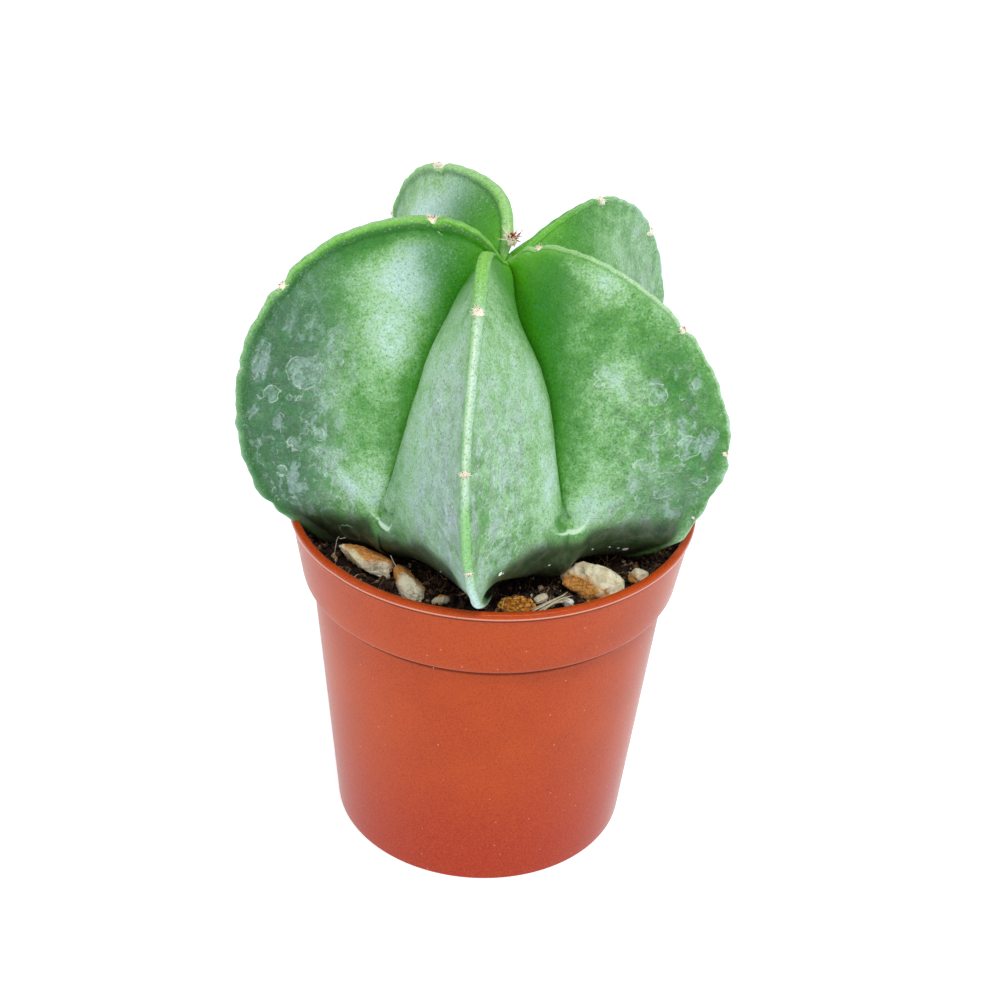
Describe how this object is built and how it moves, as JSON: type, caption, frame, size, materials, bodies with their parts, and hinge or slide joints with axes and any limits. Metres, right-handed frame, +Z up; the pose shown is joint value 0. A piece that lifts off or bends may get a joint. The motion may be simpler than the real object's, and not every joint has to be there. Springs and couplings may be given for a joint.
{
  "type": "potted bishops cap cactus",
  "caption": "Small star-shaped ribbed cactus without spines, grown in a terracotta-coloured plastic nursery pot topped with gravel.",
  "frame": {"origin": "centre of the pot's underside, level with the surface it stands on", "axes": "+Z up the pot and plant, -Y towards the front rib, +X to the right of it"},
  "size_m": [0.0648, 0.065, 0.093],
  "materials": {
    "pot_plastic": "satin",
    "potting_mix": "matte",
    "cactus_skin": "satin",
    "root_bark": "matte",
    "areole_wool": "matte",
    "ochre_stone": "matte",
    "pale_stone": "matte",
    "dry_straw": "satin",
    "bark_chip": "matte",
    "rust_crumb": "matte",
    "perlite": "matte"
  },
  "bodies": {
    "root": {"pot": "pot_plastic", "potting_mix": "potting_mix", "cactus_body": "cactus_skin", "root_system": "root_bark", "areole_front_1": "areole_wool", "areole_front_2": "areole_wool", "areole_front_3": "areole_wool", "areole_right_1": "areole_wool", "areole_right_2": "areole_wool", "areole_right_3": "areole_wool", "areole_right_4": "areole_wool", "areole_right_rear_1": "areole_wool", "areole_right_rear_2": "areole_wool", "areole_right_rear_3": "areole_wool", "areole_right_rear_4": "areole_wool", "areole_left_rear_1": "areole_wool", "areole_left_rear_2": "areole_wool", "areole_left_rear_3": "areole_wool", "areole_left_rear_4": "areole_wool", "areole_left_1": "areole_wool", "areole_left_2": "areole_wool", "areole_left_3": "areole_wool", "areole_left_4": "areole_wool", "areole_left_5": "areole_wool", "areole_crown": "areole_wool", "gravel_ochre_long": "ochre_stone", "gravel_pale_oval": "pale_stone", "gravel_cream_large": "pale_stone", "gravel_cream_small": "pale_stone", "gravel_grey_chip": "pale_stone", "gravel_rear_ochre": "ochre_stone", "gravel_rear_pale": "pale_stone", "rust_crumb": "rust_crumb", "perlite_grain_1": "perlite", "perlite_grain_2": "perlite", "seed_husk": "dry_straw", "bark_chip_1": "bark_chip", "bark_chip_2": "bark_chip", "straw": "dry_straw"}
  },
  "joints": []
}
